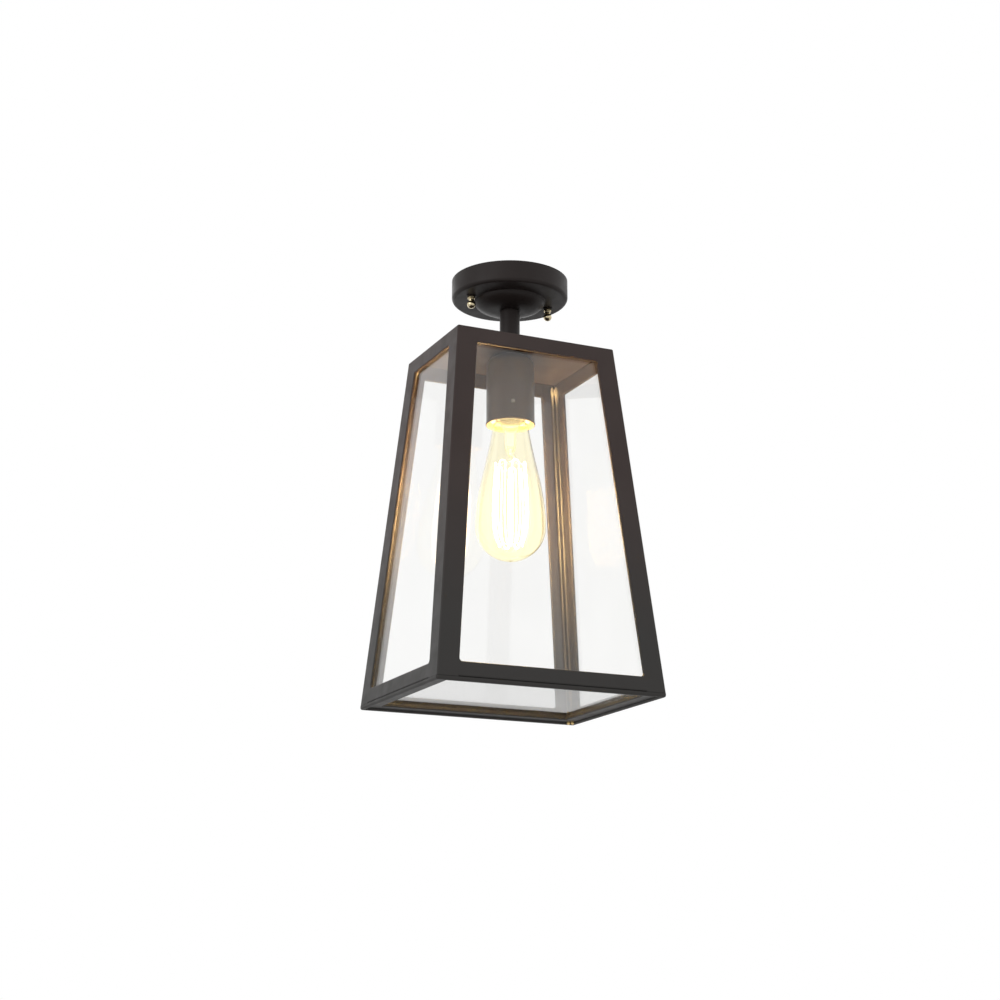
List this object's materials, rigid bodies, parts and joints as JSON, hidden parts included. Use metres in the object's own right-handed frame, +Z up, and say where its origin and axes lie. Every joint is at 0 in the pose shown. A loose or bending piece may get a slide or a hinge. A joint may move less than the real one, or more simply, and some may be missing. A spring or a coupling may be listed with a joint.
{
  "type": "porch ceiling lantern",
  "caption": "Tapered glazed ceiling lantern on a short stem and round canopy, with a screw-in filament bulb and a glazed base that comes down.",
  "frame": {"origin": "middle of the canopy's rim, on the ceiling, at the top face of the crossbar", "axes": "+Z up to the ceiling; +X along the crossbar and the wide side of the lantern; the front face looks along -Y"},
  "size_m": [0.22, 0.18, 0.4057],
  "materials": {
    "frame_bronze": "satin dark bronze powder coat",
    "canopy_bronze": "satin dark bronze powder coat",
    "cup_bronze": "satin dark bronze powder coat",
    "clear_glass": "clear float glass",
    "sealant": "clear silicone, slightly milky",
    "polished_brass": "polished",
    "brass": "bright",
    "zinc": "zinc plated",
    "ceramic": "glazed ceramic",
    "lead_red": "insulated lead",
    "lead_white": "insulated lead",
    "lead_green": "insulated lead",
    "bulb_glass": "clear, faintly amber",
    "stem_glass": "clear",
    "black_glass": "black vitreous insulator",
    "filament": "glowing filament",
    "cap_aluminium": "bright"
  },
  "bodies": {
    "root": {"ceiling_bar": "zinc", "bar_studs": "zinc", "stud_lock_nuts": "zinc", "ground_screw": "brass", "canopy_dish": "canopy_bronze", "canopy_washer": "zinc", "canopy_lock_nut": "brass", "nipple": "zinc", "stem_tube": "canopy_bronze", "roof_plate": "frame_bronze", "post_front_left": "frame_bronze", "post_front_right": "frame_bronze", "post_back_left": "frame_bronze", "post_back_right": "frame_bronze", "top_rail_front": "frame_bronze", "top_rail_back": "frame_bronze", "top_rail_left": "frame_bronze", "top_rail_right": "frame_bronze", "base_rail_front": "frame_bronze", "base_rail_back": "frame_bronze", "base_rail_left": "frame_bronze", "base_rail_right": "frame_bronze", "pane_front": "clear_glass", "pane_back": "clear_glass", "pane_left": "clear_glass", "pane_right": "clear_glass", "pane_sealant": "sealant", "holder_cup": "cup_bronze", "cup_screw": "zinc", "cup_lock_nut": "brass", "holder_bracket": "zinc", "bracket_screws": "zinc", "holder_body": "ceramic", "socket_shell": "brass", "centre_contact": "brass", "terminal_screws": "brass", "lead_live": "lead_red", "lead_neutral": "lead_white", "lead_earth": "lead_green"},
    "nut_washer_left": {"nut_washer_left": "canopy_bronze"},
    "nut_washer_right": {"nut_washer_right": "canopy_bronze"},
    "cap_nut_left": {"cap_nut_left": "polished_brass"},
    "cap_nut_right": {"cap_nut_right": "polished_brass"},
    "bulb_contact": {"bulb_contact": "zinc"},
    "bulb": {"bulb_glass": "bulb_glass", "bulb_cap": "cap_aluminium", "bulb_insulator": "black_glass", "bulb_stem": "stem_glass", "bulb_supports": "zinc", "bulb_lead_wires": "zinc", "bulb_filament": "filament"},
    "base": {"base_frame": "frame_bronze", "pane_base": "clear_glass", "base_sealant": "sealant", "base_screws": "brass"}
  },
  "joints": [
    {"name": "nut_left_travel", "type": "slide", "parent": "root", "child": "nut_washer_left", "axis": [0, 0, -1], "range_m": [0, 0.0084]},
    {"name": "nut_left_turn", "type": "hinge", "parent": "nut_washer_left", "child": "cap_nut_left", "pos_m": [-0.04, 0, -0.025], "axis": [0, 0, -1], "range_deg": [0, 4322]},
    {"name": "nut_right_travel", "type": "slide", "parent": "root", "child": "nut_washer_right", "axis": [0, 0, -1], "range_m": [0, 0.0084]},
    {"name": "nut_right_turn", "type": "hinge", "parent": "nut_washer_right", "child": "cap_nut_right", "pos_m": [0.04, 0, -0.025], "axis": [0, 0, -1], "range_deg": [0, 4322]},
    {"name": "bulb_travel", "type": "slide", "parent": "root", "child": "bulb_contact", "axis": [0, 0, -1], "range_m": [0, 0.02543]},
    {"name": "bulb_turn", "type": "hinge", "parent": "bulb_contact", "child": "bulb", "pos_m": [0, 0, -0.15], "axis": [0, 0, -1], "range_deg": [0, 2520]},
    {"name": "base_drop", "type": "slide", "parent": "root", "child": "base", "axis": [0, 0, -1], "range_m": [0, 0.08]}
  ],
  "couplings": [
    {"joint": "nut_left_turn", "follows": "nut_left_travel", "rad_per_m": 8976},
    {"joint": "nut_right_turn", "follows": "nut_right_travel", "rad_per_m": 8976},
    {"joint": "bulb_travel", "follows": "bulb_turn", "m_per_rad": 0.00057773}
  ]
}
